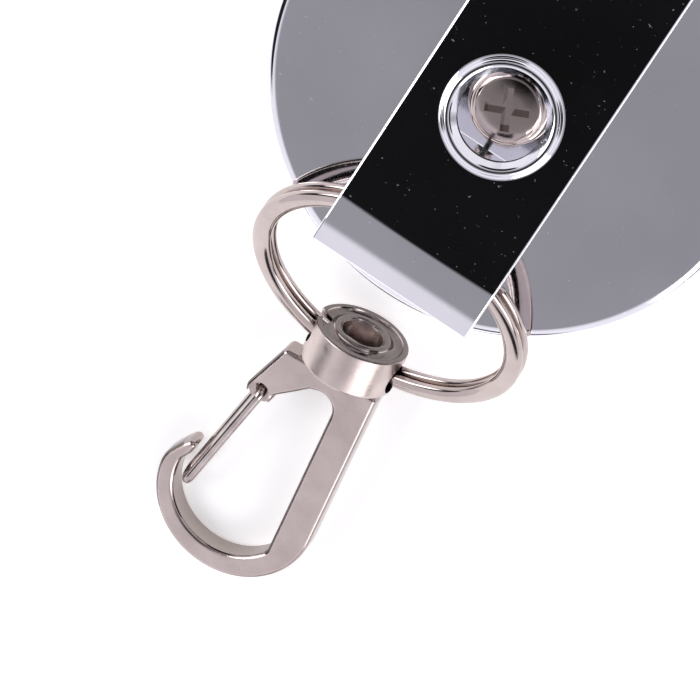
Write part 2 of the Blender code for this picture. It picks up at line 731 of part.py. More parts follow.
def build():
    clear_scene()
    for make in (front_shell, back_shell, outlet_eyelet, center_post, spool, spring_cover,
                 power_spring, wound_cord, cord_lead, cord_loop, cord_crimp, clip_base,
                 clip_tongue, screw_washer, clip_screw, split_ring, swivel_barrel, swivel_pin,
                 hook_body, hook_gate):
        make()


build()
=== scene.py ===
import json
import math

import bmesh
import bpy
from mathutils import Matrix, Vector


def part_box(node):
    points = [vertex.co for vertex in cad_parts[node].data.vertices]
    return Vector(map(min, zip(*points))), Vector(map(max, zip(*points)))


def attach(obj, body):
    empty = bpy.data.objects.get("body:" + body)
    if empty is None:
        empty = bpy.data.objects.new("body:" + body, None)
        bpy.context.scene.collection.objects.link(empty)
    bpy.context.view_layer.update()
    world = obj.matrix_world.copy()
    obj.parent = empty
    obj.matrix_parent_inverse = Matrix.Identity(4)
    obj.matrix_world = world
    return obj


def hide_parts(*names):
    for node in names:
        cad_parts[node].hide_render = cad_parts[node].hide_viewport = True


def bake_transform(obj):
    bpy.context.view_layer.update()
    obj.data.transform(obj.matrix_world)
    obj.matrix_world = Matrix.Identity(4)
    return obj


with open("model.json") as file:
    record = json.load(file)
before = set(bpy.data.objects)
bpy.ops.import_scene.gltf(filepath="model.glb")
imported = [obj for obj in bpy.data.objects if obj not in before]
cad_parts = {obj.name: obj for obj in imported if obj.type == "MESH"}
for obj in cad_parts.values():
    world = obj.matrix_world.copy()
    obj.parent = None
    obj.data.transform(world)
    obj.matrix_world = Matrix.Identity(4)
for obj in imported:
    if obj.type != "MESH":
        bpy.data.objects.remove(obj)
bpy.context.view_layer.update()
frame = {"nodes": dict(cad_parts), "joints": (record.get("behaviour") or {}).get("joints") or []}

# The looks of the badge reel: chrome case and clip, nickel ring, swivel head and hook.
# Sizes are in millimetres, in the frame's own axes; MM turns them into metres.
MM = 0.001
JOINT = {joint["name"]: joint for joint in frame["joints"]}

# Sizes read from the frame
CASE_LOW, CASE_HIGH = (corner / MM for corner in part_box("back_shell"))
LIP_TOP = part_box("front_shell")[1].z / MM
CASE_RADIUS = (CASE_HIGH.x - CASE_LOW.x) / 2
BACK = CASE_HIGH.z
SPLIT = CASE_LOW.z
EYELET_LOW, EYELET_HIGH = (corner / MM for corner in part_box("outlet_eyelet"))
OUTLET = (EYELET_LOW + EYELET_HIGH) / 2
TONGUE_LOW, TONGUE_HIGH = (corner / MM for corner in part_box("clip_tongue"))
LEAF_LOW, LEAF_HIGH = (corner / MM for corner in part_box("clip_base"))
SCREW_LOW, SCREW_HIGH = (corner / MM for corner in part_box("clip_screw"))
WASHER_LOW, WASHER_HIGH = (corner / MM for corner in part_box("screw_washer"))
RING_TOP = Vector(JOINT["ring_swing"]["pos_m"]) / MM
HEAD_AT = Vector(JOINT["head_tilt"]["pos_m"]) / MM
HOOK_AT = Vector(JOINT["hook_swivel"]["pos_m"]) / MM
CLIP_PIVOT = Vector(JOINT["clip_flex"]["pos_m"]) / MM

# Case
EDGE_ROUND = 1.0
FLOOR = 1.0                 # thickness of the two flat faces
WALL = 0.9
LIP_OUTER = 18.85
LIP_INNER = 18.1
SEAM_GAP = 0.2
SEAM_EDGE = 0.12
CLEARANCE_HOLE = 1.3        # for the screw, in the back and in the clip's base leaf
OUTLET_HOLE = 1.75

# Belt clip
STRIP = 0.8
CLIP_BEND = 0.5
CLIP_SLOPE = math.radians(10.8)
CLIP_KNEES = ((-11.8, 0.0, 1.0), (-14.2, math.radians(-9.0), 4.0))  # y, slope after, fold radius
CLIP_TIP_LENGTH = 1.8
CLIP_EDGE = 0.2
ACCESS_HOLE = 3.45
ACCESS_RIM = 4.6
ACCESS_RIM_HEIGHT = 0.55
ACCESS_RIM_ROUND = 0.42
ACCESS_CONE = 0.45          # how far the hole's mouth widens

# Clip screw
SCREW_HEAD_HEIGHT = 1.7
SCREW_CROWN = 0.9
CROSS_ARM = 1.75
CROSS_HALF_WIDTH = 0.36
CROSS_DEPTH = 0.9
CROSS_TURN = 25.0

# Ring, head and hook
RING_RADIUS = 11.45
RING_SLOPE = math.radians(38.0)
COIL_HALF_WIDTH = 0.83
COIL_HALF_HEIGHT = 0.42
COIL_LEVEL = 0.445          # height of a coil's centre over the ring's middle plane
STEP_AT = 82.0              # where on the ring the coils change over, in degrees from +X
STEP_LENGTH = math.radians(26.0)
HEAD_RADIUS = 4.1
HEAD_BELOW_WIRE = 1.7
HEAD_ABOVE_WIRE = 2.1
HEAD_WINDOW = 1.8
HEAD_FLOOR = 0.65
WIRE_HOLE = 1.02
TILT_MIN, TILT_MAX = math.radians(-32.0), math.radians(45.0)
PIN_RADIUS = 1.0
PIN_HEAD = 1.4
PIN_PLAY = 0.2
HOOK_GAP = 0.5
HOOK_THICKNESS = 2.4
HOOK_BEVEL = 0.4
ROLL = math.radians(5.0)
SPINE_OUTER = 3.6
BOW_CENTRE = (-3.7, 15.5)
BOW_RADIUS = 7.3
BOW_INNER_CENTRE = (-3.95, 15.25)
BOW_INNER_RADIUS = 5.5
THROAT = (-0.9, 3.55)
THROAT_RADIUS = 1.5
EAR = (-5.7, 4.8)
EAR_RADIUS = 1.25
RECESS = 0.85
GATE_WIRE = 0.43
GATE_LEG = 0.95
GATE_TIP = (-8.5, 16.4)
GATE_OPENING = math.radians(25.0)
GATE_LEAN = 0.24            # sideways per unit of height, so that both legs show from above
GATE_CORNER = 0.62
GATE_END = 0.12             # half the gap between the wire's two ends
EAR_HOLE = GATE_WIRE + 0.18
TANG = 0.4                  # half the thickness left in the ear between the gate's legs

# Cord
CORD_RADIUS = 0.25
LOOP_RADIUS = 1.25
CRIMP_RADIUS = 0.8
CRIMP_START = 1.7
CRIMP_LENGTH = 1.6

# Direction, half width in degrees and level of the black cards that draw lines in the chrome
DARK_CARDS = (((-1.0, -0.55, 0.55), 17.0, 0.015),
              ((-0.55, 0.9, 0.45), 20.0, 0.02),
              ((0.9, 0.5, 0.35), 16.0, 0.02),
              ((0.35, -1.0, 0.10), 9.0, 0.05),
              ((1.0, -0.45, 0.30), 9.0, 0.03))


# ---------------------------------------------------------------- shapes

def arc(centre, radius, start, end, steps):
    """Points round part of a circle, from one angle to another, in degrees."""
    points = []
    for step in range(steps + 1):
        angle = math.radians(start + (end - start) * step / steps)
        points.append((centre[0] + radius * math.cos(angle), centre[1] + radius * math.sin(angle)))
    return points


def frame_matrix(origin, x_axis, y_axis, z_axis):
    """Placement with its origin and its three axes."""
    made = Matrix.Identity(4)
    for column, axis in enumerate((x_axis, y_axis, z_axis)):
        for row in range(3):
            made[row][column] = axis[row]
    made.translation = origin
    return made


def mesh_from(name, verts, faces):
    """Mesh with all its faces turned outwards."""
    mesh = bpy.data.meshes.new(name)
    mesh.from_pydata([tuple(v) for v in verts], [], faces)
    work = bmesh.new()
    work.from_mesh(mesh)
    bmesh.ops.recalc_face_normals(work, faces=work.faces)
    work.to_mesh(mesh)
    work.free()
    mesh.update()
    return mesh


def add_piece(mesh, place=None, sharp=35.0):
    """Put a mesh made in millimetres in the scene, already placed, in metres."""
    if place is not None:
        mesh.transform(place)
    mesh.transform(Matrix.Scale(MM, 4))
    mesh.shade_smooth()
    mesh.set_sharp_from_angle(angle=math.radians(sharp))
    piece = bpy.data.objects.new(mesh.name, mesh)
    bpy.context.collection.objects.link(piece)
    return piece


def turned_mesh(name, outline, steps):
    """Turn a closed outline of (radius, height) points about Z. Radius 0 is a pole."""
    verts, rings = [], []
    for radius, height in outline:
        if radius == 0.0:
            rings.append([len(verts)])
            verts.append((0.0, 0.0, height))
            continue
        rings.append(list(range(len(verts), len(verts) + steps)))
        for step in range(steps):
            angle = 2 * math.pi * step / steps
            verts.append((radius * math.cos(angle), radius * math.sin(angle), height))
    faces = []
    for first, second in zip(rings, rings[1:] + rings[:1]):
        if len(first) == 1 and len(second) == 1:
            continue
        for step in range(steps):
            after = (step + 1) % steps
            if len(first) == 1:
                faces.append((first[0], second[step], second[after]))
            elif len(second) == 1:
                faces.append((first[step], first[after], second[0]))
            else:
                faces.append((first[step], first[after], second[after], second[step]))
    return mesh_from(name, verts, faces)


def turned(name, outline, steps, place=None):
    return add_piece(turned_mesh(name, outline, steps), place)


def cylinder(radius, low, high):
    """Outline of a plain cylinder, for turned()."""
    return [(0.0, low), (radius, low), (radius, high), (0.0, high)]


def extruded_mesh(name, outline, low, high):
    """Raise a flat outline into a slab between two heights."""
    count = len(outline)
    verts = [(a, b, level) for level in (low, high) for a, b in outline]
    faces = [tuple(range(count)), tuple(range(count, 2 * count))]
    for i in range(count):
        j = (i + 1) % count
        faces.append((i, j, count + j, count + i))
    return mesh_from(name, verts, faces)


def lofted_mesh(name, sections, closed=False):
    """Skin a row of matching closed sections; an open row gets flat ends."""
    count = len(sections[0])
    verts = [point for section in sections for point in section]
    faces = []
    last = len(sections) if closed else len(sections) - 1
    for i in range(last):
        low, high = i * count, ((i + 1) % len(sections)) * count
        for step in range(count):
            after = (step + 1) % count
            faces.append((low + step, low + after, high + after, high + step))
    if not closed:
        faces.append(tuple(range(count)))
        faces.append(tuple(range((len(sections) - 1) * count, len(sections) * count)))
    return mesh_from(name, verts, faces)


def tube_mesh(name, path, radius, sides):
    """A round wire along a list of points, with flat ends."""
    points = [Vector(p) for p in path]
    around = [(math.cos(2 * math.pi * s / sides), math.sin(2 * math.pi * s / sides)) for s in range(sides)]
    normal = (points[1] - points[0]).orthogonal()
    sections = []
    for i, point in enumerate(points):
        before, after = points[max(i - 1, 0)], points[min(i + 1, len(points) - 1)]
        tangent = (after - before).normalized()
        normal = (normal - tangent * normal.dot(tangent)).normalized()
        side = tangent.cross(normal)
        sections.append([point + radius * (c * normal + s * side) for c, s in around])
    return lofted_mesh(name, sections)


def smooth_path(points, per_span):
    """Read a smooth curve through the points (Catmull-Rom)."""
    points = [Vector(p) for p in points]
    full = [2 * points[0] - points[1]] + points + [2 * points[-1] - points[-2]]
    path = []
    for i in range(1, len(full) - 2):
        a, b, c, d = full[i - 1:i + 3]
        for step in range(per_span):
            t = step / per_span
            path.append(0.5 * (2 * b + (c - a) * t + (2 * a - 5 * b + 4 * c - d) * t * t
                               + (3 * b - a - 3 * c + d) * t ** 3))
    return path + [points[-1]]


def boolean(target, tool, operation):
    """Cut a tool out of the target, or join a boss to it, and remove the tool."""
    change = target.modifiers.new(operation.title(), "BOOLEAN")
    change.operation = operation
    change.solver = "EXACT"
    change.object = tool
    apply_modifiers(target)
    bpy.data.objects.remove(tool, do_unlink=True)


def apply_modifiers(piece):
    bpy.context.view_layer.update()
    shaped = piece.evaluated_get(bpy.context.evaluated_depsgraph_get())
    mesh = bpy.data.meshes.new_from_object(shaped)
    piece.modifiers.clear()
    piece.data = mesh


def bevel(piece, width, segments, angle):
    change = piece.modifiers.new("Rounded edges", "BEVEL")
    change.width = width * MM
    change.segments = segments
    change.limit_method = "ANGLE"
    change.angle_limit = math.radians(angle)
    change.use_clamp_overlap = False
    apply_modifiers(piece)


def keep_flats_flat(piece, sharp=35.0):
    """Give the wide faces their own normals, so that a mirror face stays a true mirror."""
    piece.data.shade_smooth()
    piece.data.set_sharp_from_angle(angle=math.radians(sharp))
    change = piece.modifiers.new("Flat faces", "WEIGHTED_NORMAL")
    change.keep_sharp = True
    change.weight = 100


# ---------------------------------------------------------------- frames

def ring_frame():
    """Origin at the ring's centre, Y up its slope, Z along its normal."""
    x_axis = Vector((1, 0, 0))
    y_axis = Vector((0, math.cos(RING_SLOPE), math.sin(RING_SLOPE)))
    return frame_matrix(RING_TOP - RING_RADIUS * y_axis, x_axis, y_axis, x_axis.cross(y_axis))


def axis_towards_case():
    """Direction from the hook's tail to its head: the axis on which the hook swivels."""
    return -Vector(JOINT["hook_swivel"]["axis"]).normalized()


def head_frame():
    """Origin at the wire's centre in the head, Z along the head."""
    z_axis = axis_towards_case()
    wire = -Vector(JOINT["head_tilt"]["axis"])
    x_axis = (wire - z_axis * wire.dot(z_axis)).normalized()
    return frame_matrix(HEAD_AT, x_axis, z_axis.cross(x_axis), z_axis)


def wire_frame():
    """Origin at the wire's centre in the head, X along the wire."""
    x_axis = -Vector(JOINT["head_tilt"]["axis"]).normalized()
    z_axis = axis_towards_case()
    z_axis = (z_axis - x_axis * x_axis.dot(z_axis)).normalized()
    return frame_matrix(HEAD_AT, x_axis, z_axis.cross(x_axis), z_axis)


def hook_frame():
    """Origin on the swivel axis at the platform, X across the hook, Y along it to its tail."""
    up_axis = axis_towards_case()
    level = up_axis.cross(Vector((0, 0, 1))).normalized()
    face = up_axis.cross(level) * -1
    x_axis = math.cos(ROLL) * level + math.sin(ROLL) * face
    return frame_matrix(HOOK_AT, x_axis, -up_axis, up_axis.cross(x_axis))


# ---------------------------------------------------------------- materials

class Nodes:
    """A short way to add and join shader nodes."""

    def __init__(self, name):
        self.material = bpy.data.materials.new(name)
        self.material.use_nodes = True
        self.tree = self.material.node_tree
        self.shader = self.tree.nodes["Principled BSDF"]
        self.place = self.add("ShaderNodeTexCoord").outputs["Object"]

    def add(self, kind, inputs=(), **settings):
        node = self.tree.nodes.new(kind)
        for key, value in settings.items():
            setattr(node, key, value)
        for key, value in dict(inputs).items():
            if isinstance(value, bpy.types.NodeSocket):
                self.tree.links.new(value, node.inputs[key])
            else:
                node.inputs[key].default_value = value
        return node

    def noise(self, scale, detail=3.0, roughness=0.5):
        return self.add("ShaderNodeTexNoise", {"Vector": self.place, "Scale": scale,
                                               "Detail": detail, "Roughness": roughness}).outputs["Fac"]

    def remap(self, value, low, high, to_low, to_high):
        return self.add("ShaderNodeMapRange", {"Value": value, "From Min": low, "From Max": high,
                                               "To Min": to_low, "To Max": to_high}).outputs["Result"]

    def ramp(self, value, stops):
        node = self.add("ShaderNodeValToRGB", {"Fac": value})
        while len(node.color_ramp.elements) < len(stops):
            node.color_ramp.elements.new(0.5)
        for element, (position, colour) in zip(node.color_ramp.elements, stops):
            element.position = position
            element.color = (*colour, 1.0)
        return node.outputs["Color"]

    def bump(self, height, strength, distance, under=None):
        inputs = {"Height": height, "Strength": strength, "Distance": distance}
        if under is not None:
            inputs["Normal"] = under
        return self.add("ShaderNodeBump", inputs).outputs["Normal"]

    def set(self, name, value):
        if isinstance(value, bpy.types.NodeSocket):
            self.tree.links.new(value, self.shader.inputs[name])
        else:
            self.shader.inputs[name].default_value = value


def chrome_material():
    """Bright plate over stamped steel: faint waves, dust specks and cloudy roughness."""
    nodes = Nodes("polished_chrome")
    nodes.set("Metallic", 1.0)
    nodes.set("Base Color", nodes.ramp(nodes.noise(90, 4), [(0.35, (0.80, 0.80, 0.83)),
                                                           (0.65, (0.87, 0.87, 0.90))]))
    specks = nodes.ramp(nodes.noise(2600, 2, 0.7), [(0.69, (0, 0, 0)), (0.74, (1, 1, 1))])
    cloud = nodes.remap(nodes.noise(160, 5, 0.6), 0.3, 0.75, 0.035, 0.085)
    rough = nodes.add("ShaderNodeMath", {0: nodes.remap(specks, 0, 1, 0, 0.25), 1: cloud},
                      operation="ADD").outputs[0]
    nodes.set("Roughness", rough)
    waves = nodes.bump(nodes.noise(55, 1), 0.12, 0.0006)
    nodes.set("Normal", nodes.bump(specks, 0.12, 0.00002, waves))
    return nodes.material


def nickel_material(name, satin, grain, shade=1.0):
    """Warm nickel plate: its mean roughness, the strength of its pits, and how dark it is."""
    nodes = Nodes(name)
    nodes.set("Metallic", 1.0)
    low, high = (0.50, 0.425, 0.395), (0.62, 0.535, 0.505)
    nodes.set("Base Color", nodes.ramp(nodes.noise(240, 4, 0.6),
                                       [(0.3, [shade * part for part in low]),
                                        (0.7, [shade * part for part in high])]))
    nodes.set("Roughness", nodes.remap(nodes.noise(700, 4, 0.65), 0.3, 0.7, satin * 0.75, satin * 1.3))
    fine = nodes.bump(nodes.noise(5200, 2, 0.6), grain, 0.00002)
    nodes.set("Normal", nodes.bump(nodes.noise(320, 2), grain * 0.8, 0.00012, fine))
    return nodes.material


def wire_material():
    """Drawn spring wire under thin nickel."""
    nodes = Nodes("drawn_wire")
    nodes.set("Metallic", 1.0)
    nodes.set("Base Color", nodes.ramp(nodes.noise(500, 3), [(0.35, (0.48, 0.42, 0.40)),
                                                             (0.7, (0.64, 0.57, 0.54))]))
    nodes.set("Roughness", nodes.remap(nodes.noise(900, 3), 0.3, 0.7, 0.12, 0.24))
    nodes.set("Normal", nodes.bump(nodes.noise(1800, 2), 0.15, 0.00003))
    return nodes.material


def spring_steel_material():
    """Blued ribbon steel with rolling marks."""
    nodes = Nodes("blued_spring_steel")
    nodes.set("Metallic", 1.0)
    nodes.set("Base Color", nodes.ramp(nodes.noise(300, 3), [(0.35, (0.25, 0.28, 0.36)),
                                                             (0.7, (0.42, 0.43, 0.47))]))
    nodes.set("Roughness", nodes.remap(nodes.noise(1200, 4), 0.3, 0.7, 0.22, 0.38))
    nodes.set("Normal", nodes.bump(nodes.noise(2500, 2), 0.2, 0.00003))
    return nodes.material


def acetal_material():
    """Moulded white acetal, faintly mottled."""
    nodes = Nodes("moulded_acetal")
    nodes.set("Base Color", nodes.ramp(nodes.noise(120, 3), [(0.35, (0.80, 0.80, 0.77)),
                                                             (0.7, (0.88, 0.88, 0.86))]))
    nodes.set("Roughness", nodes.remap(nodes.noise(600, 3), 0.3, 0.7, 0.38, 0.52))
    nodes.set("Normal", nodes.bump(nodes.noise(1500, 3), 0.2, 0.00005))
    return nodes.material


def braid_material():
    """Black braided nylon: two sets of fine crossing strands."""
    nodes = Nodes("braided_nylon")
    strands = []
    for lean in (45, -45):
        turned_place = nodes.add("ShaderNodeMapping", {"Vector": nodes.place,
                                                       "Rotation": (math.radians(lean), 0, 0)})
        strands.append(nodes.add("ShaderNodeTexWave", {"Vector": turned_place.outputs["Vector"],
                                                       "Scale": 1400.0, "Distortion": 0.4},
                                 bands_direction="Z").outputs["Fac"])
    weave = nodes.add("ShaderNodeMath", {0: strands[0], 1: strands[1]}, operation="MAXIMUM").outputs[0]
    nodes.set("Base Color", nodes.ramp(weave, [(0.3, (0.008, 0.008, 0.009)), (0.9, (0.05, 0.05, 0.055))]))
    nodes.set("Roughness", nodes.remap(weave, 0, 1, 0.75, 0.5))
    nodes.set("Sheen Weight", 0.25)
    nodes.set("Normal", nodes.bump(weave, 0.6, 0.00006))
    return nodes.material


# ---------------------------------------------------------------- case

def case_back():
    """Flat mirror back with a rounded edge."""
    edge = CASE_RADIUS - EDGE_ROUND
    inner = CASE_RADIUS - WALL
    outline = [(CLEARANCE_HOLE, BACK - FLOOR), (inner, BACK - FLOOR), (inner, SPLIT)]
    outline += [(CASE_RADIUS - SEAM_EDGE, SPLIT), (CASE_RADIUS, SPLIT + SEAM_EDGE)]
    outline += arc((edge, BACK - EDGE_ROUND), EDGE_ROUND, 0, 90, 14)
    outline += [(CLEARANCE_HOLE, BACK)]
    piece = turned("case_back", outline, 192)
    at_outlet = Matrix.Translation((OUTLET.x, OUTLET.y, 0))
    boolean(piece, turned("hole", cylinder(OUTLET_HOLE, BACK - 3, BACK + 3), 48, at_outlet), "DIFFERENCE")
    keep_flats_flat(piece)
    return piece


def case_front():
    """Cup with a rounded edge; its lip goes up inside the back."""
    edge = CASE_RADIUS - EDGE_ROUND
    seam = SPLIT - SEAM_GAP
    outline = [(0.0, 0.0)] + arc((edge, EDGE_ROUND), EDGE_ROUND, -90, 0, 14)
    outline += [(CASE_RADIUS, seam - SEAM_EDGE), (CASE_RADIUS - SEAM_EDGE, seam), (LIP_OUTER, seam)]
    outline += [(LIP_OUTER, LIP_TOP), (LIP_INNER, LIP_TOP), (LIP_INNER, FLOOR), (0.0, FLOOR)]
    piece = turned("case_front", outline, 192)
    keep_flats_flat(piece)
    return piece


def eyelet():
    """Tube with a flange inside the back and a rounded collar outside it."""
    low, high = EYELET_LOW.z, EYELET_HIGH.z
    outline = [(0.85, low), (2.05, low), (2.05, low + 0.25), (1.5, low + 0.25), (1.5, BACK + 0.2)]
    outline += [(2.3, BACK + 0.2)] + arc((2.05, BACK + 0.4), 0.25, 0, 90, 6)
    outline += arc((1.15, high - 0.3), 0.3, 90, 180, 6)
    return turned("cord_eyelet", outline, 64, Matrix.Translation((OUTLET.x, OUTLET.y, 0)))


# ---------------------------------------------------------------- belt clip

def clip_line():
    """Side view of the whole strip's inner face: points with the strip's direction there."""
    y0, z0 = CLIP_PIVOT.y, CLIP_PIVOT.z
    line = [((LEAF_LOW.y, z0 - CLIP_BEND), 0.0)]
    steps = 16
    top = math.pi / 2 - CLIP_SLOPE
    for step in range(steps + 1):
        angle = -math.pi / 2 + (top + math.pi / 2) * step / steps
        point = (y0 + CLIP_BEND * math.cos(angle), z0 + CLIP_BEND * math.sin(angle))
        line.append((point, angle + math.pi / 2))
    (y, z), slope = line[-1][0], CLIP_SLOPE
    for fold_y, after, radius in CLIP_KNEES:
        z += math.tan(slope) * (y - fold_y)
        y = fold_y
        reach = radius * math.tan((slope - after) / 2)
        centre_y = y + reach * math.cos(slope) - radius * math.sin(slope)
        centre_z = z - reach * math.sin(slope) - radius * math.cos(slope)
        for step in range(11):
            angle = slope + (after - slope) * step / 10
            point = (centre_y + radius * math.sin(angle), centre_z + radius * math.cos(angle))
            line.append((point, math.pi - angle))
        slope = after
    tip = (y - CLIP_TIP_LENGTH * math.cos(slope), z + CLIP_TIP_LENGTH * math.sin(slope))
    return line + [(tip, math.pi - slope)]


def strip_section(half, low, high):
    """Rounded section of the strip, as (x, distance out of the inner face) points."""
    round_edge = min(CLIP_EDGE, (high - low) / 2 - 0.01)
    section = []
    for x, y, start in ((half, high, 0), (-half, high, 90), (-half, low, 180), (half, low, 270)):
        centre = (x - math.copysign(round_edge, x), y - math.copysign(round_edge, y - STRIP / 2))
        section += arc(centre, round_edge, start, start + 90, 4)
    return section


def belt_clip():
    """One strip of plated spring steel: base leaf, bend, tongue with its rimmed hole, turned-down end."""
    base_half = (LEAF_HIGH.x - LEAF_LOW.x) / 2
    tongue_half = (TONGUE_HIGH.x - TONGUE_LOW.x) / 2
    line = clip_line()
    stations = [(0.0, 0.22), (0.07, 0.08), (0.2, 0.0)]
    sections = []
    for i, ((y, z), angle) in enumerate(line):
        along = (math.cos(angle), math.sin(angle))
        out = (math.sin(angle), -math.cos(angle))
        share = min(max(angle / math.pi, 0.0), 1.0) ** 2
        half = base_half + (tongue_half - base_half) * min(1.0, share * 1.6)
        ends = [(0.0, 0.0)]
        if i == 0:
            ends = stations
        elif i == len(line) - 1:
            ends = [(-a, b) for a, b in reversed(stations)]
        for shift, shrink in ends:
            section = []
            for x, height in strip_section(half - shrink, shrink, STRIP - shrink):
                section.append((x, y + along[0] * shift + out[0] * height,
                                z + along[1] * shift + out[1] * height))
            sections.append(section)
    piece = add_piece(lofted_mesh("belt_clip", sections))
    place = tongue_frame()
    rim = [(3.0, -0.5), (ACCESS_RIM + 0.25, -0.5), (ACCESS_RIM + 0.25, 0.004)]
    rim += [(ACCESS_RIM + 0.1, 0.03), (ACCESS_RIM, 0.1)]
    rim += arc((ACCESS_RIM - ACCESS_RIM_ROUND, ACCESS_RIM_HEIGHT - ACCESS_RIM_ROUND),
               ACCESS_RIM_ROUND, 10, 135, 12)
    rim += [(3.0, ACCESS_RIM_HEIGHT - 0.12)]
    boolean(piece, turned("rim", rim, 96, place), "UNION")
    mouth = ACCESS_HOLE + ACCESS_CONE
    hole = [(0.0, -3), (ACCESS_HOLE, -3), (ACCESS_HOLE, 0.0), (mouth, ACCESS_CONE), (mouth, 3), (0.0, 3)]
    boolean(piece, turned("hole", hole, 96, place), "DIFFERENCE")
    boolean(piece, turned("hole", cylinder(CLEARANCE_HOLE, BACK, BACK + 2.5), 48), "DIFFERENCE")
    keep_flats_flat(piece, 30.0)
    return piece


def tongue_frame():
    """On the tongue's outer face above the screw, Z square to the tongue."""
    top = math.pi / 2 - CLIP_SLOPE
    outer = CLIP_BEND + STRIP
    start = (CLIP_PIVOT.y + outer * math.cos(top), CLIP_PIVOT.z + outer * math.sin(top))
    height = start[1] + math.tan(CLIP_SLOPE) * start[0]
    normal = Vector((0, math.sin(CLIP_SLOPE), math.cos(CLIP_SLOPE)))
    x_axis = Vector((1, 0, 0))
    return frame_matrix(Vector((0, 0, height)), x_axis, normal.cross(x_axis), normal)


def screw():
    """Pan head with a cross recess."""
    low, high = SCREW_HIGH.z - SCREW_HEAD_HEIGHT, SCREW_HIGH.z
    radius = (SCREW_HIGH.x - SCREW_LOW.x) / 2
    outline = [(0.0, SCREW_LOW.z), (0.6, SCREW_LOW.z), (1.0, SCREW_LOW.z + 0.5), (1.0, low)]
    outline += arc((radius - 0.15, low + 0.15), 0.15, -90, 0, 4)
    outline += [(radius, low + 0.6)] + arc((radius - SCREW_CROWN, high - 0.95), SCREW_CROWN, 5, 78, 10)
    outline += [(1.2, high - 0.01), (0.0, high)]
    piece = turned("clip_screw_head", outline, 96)
    arm, half = CROSS_ARM, CROSS_HALF_WIDTH
    cross = [(half, half), (half, arm), (-half, arm), (-half, half), (-arm, half), (-arm, -half),
             (-half, -half), (-half, -arm), (half, -arm), (half, -half), (arm, -half), (arm, half)]
    tool = add_piece(extruded_mesh("cross", cross, high - CROSS_DEPTH, high + 1.0),
                     Matrix.Rotation(math.radians(CROSS_TURN), 4, "Z"))
    boolean(piece, tool, "DIFFERENCE")
    keep_flats_flat(piece)
    return piece


def washer():
    """Flat washer with an eased edge."""
    low, high = WASHER_LOW.z, WASHER_HIGH.z
    radius = (WASHER_HIGH.x - WASHER_LOW.x) / 2
    outline = [(CLEARANCE_HOLE, low), (radius, low)]
    outline += arc((radius - 0.12, high - 0.12), 0.12, 0, 90, 5)
    outline += [(CLEARANCE_HOLE, high)]
    return turned("clip_washer", outline, 96)


# ---------------------------------------------------------------- cord

def cord_lead():
    """From the spool up through the eyelet and round into the crimp."""
    end = RING_TOP + Vector((0, CRIMP_START + CRIMP_LENGTH + 0.2, 0))
    x, y = OUTLET.x, OUTLET.y
    route = [(3.6, -6.3, 10.0), (2.2, -7.3, 10.0), (1.0, -8.0, 10.2), (x + 0.1, y, 11.2)]
    route += [(x, y, 12.4), (x, y, BACK + 0.5), (x, y + 0.5, BACK + 1.9), (x, y + 1.4, end.z - 1.9)]
    route += [(x, y + 1.7, end.z - 0.9), (x, y + 1.3, end.z - 0.1), (x, end.y + 0.45, end.z)]
    path = smooth_path(route, 6) + [end]
    piece = add_piece(tube_mesh("cord_lead_braided", path, CORD_RADIUS, 12), None, 60)
    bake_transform(piece)
    return piece


def cord_loop():
    """Ring of cord round the split ring's two coils."""
    sections = []
    for step in range(64):
        angle = 2 * math.pi * step / 64
        out = Vector((0, math.cos(angle), math.sin(angle)))
        sections.append([RING_TOP + LOOP_RADIUS * out + CORD_RADIUS * (math.cos(a) * out
                         + math.sin(a) * Vector((1, 0, 0)))
                         for a in [2 * math.pi * s / 12 for s in range(12)]])
    return add_piece(lofted_mesh("cord_loop_braided", sections, closed=True), None, 60)


def crimp():
    """Short tube squeezed once in the middle."""
    place = frame_matrix(RING_TOP + Vector((0, CRIMP_START, 0)), Vector((1, 0, 0)),
                         Vector((0, 0, -1)), Vector((0, 1, 0)))
    r, length = CRIMP_RADIUS, CRIMP_LENGTH
    outline = [(0.0, 0.06), (r - 0.3, 0.06), (r - 0.22, 0.0)] + arc((r - 0.12, 0.12), 0.12, -90, 0, 4)
    for step in range(9):
        share = step / 8
        squeeze = 0.13 * math.exp(-((share - 0.5) / 0.16) ** 2)
        outline.append((r - squeeze, 0.2 + (length - 0.4) * share))
    outline += arc((r - 0.12, length - 0.12), 0.12, 0, 90, 4)
    outline += [(r - 0.22, length), (r - 0.3, length - 0.06), (0.0, length - 0.06)]
    return turned("cord_crimp_tube", outline, 48, place)


# ---------------------------------------------------------------- ring and head

def split_ring():
    """Two turns of half-round wire; one short step takes the wire from coil to coil."""
    end_gap = math.radians(1.0)
    total = 4 * math.pi - STEP_LENGTH - 2 * end_gap
    count, sides = 420, 20
    square = 0.86               # below 1 this makes the wire's oval section squarer
    sections = []
    place = ring_frame()
    for i in range(count + 1):
        turn = end_gap + total * i / count
        share = (turn - (2 * math.pi - STEP_LENGTH)) / STEP_LENGTH
        share = min(max(share, 0.0), 1.0)
        height = COIL_LEVEL * math.cos(math.pi * share)
        near_end = min(i, count - i) * total / count * RING_RADIUS
        trim = min(1.0, 0.72 + 0.28 * min(1.0, near_end / 0.35) ** 0.5)
        angle = math.radians(STEP_AT) + turn
        section = []
        for side in range(sides):
            a = 2 * math.pi * side / sides
            across = math.copysign(abs(math.cos(a)) ** square, math.cos(a)) * COIL_HALF_WIDTH * trim
            up = math.copysign(abs(math.sin(a)) ** square, math.sin(a)) * COIL_HALF_HEIGHT * trim
            section.append(((RING_RADIUS + across) * math.cos(angle),
                            (RING_RADIUS + across) * math.sin(angle), height + up))
        sections.append(section)
    return add_piece(lofted_mesh("split_ring_coils", sections), place, 50)


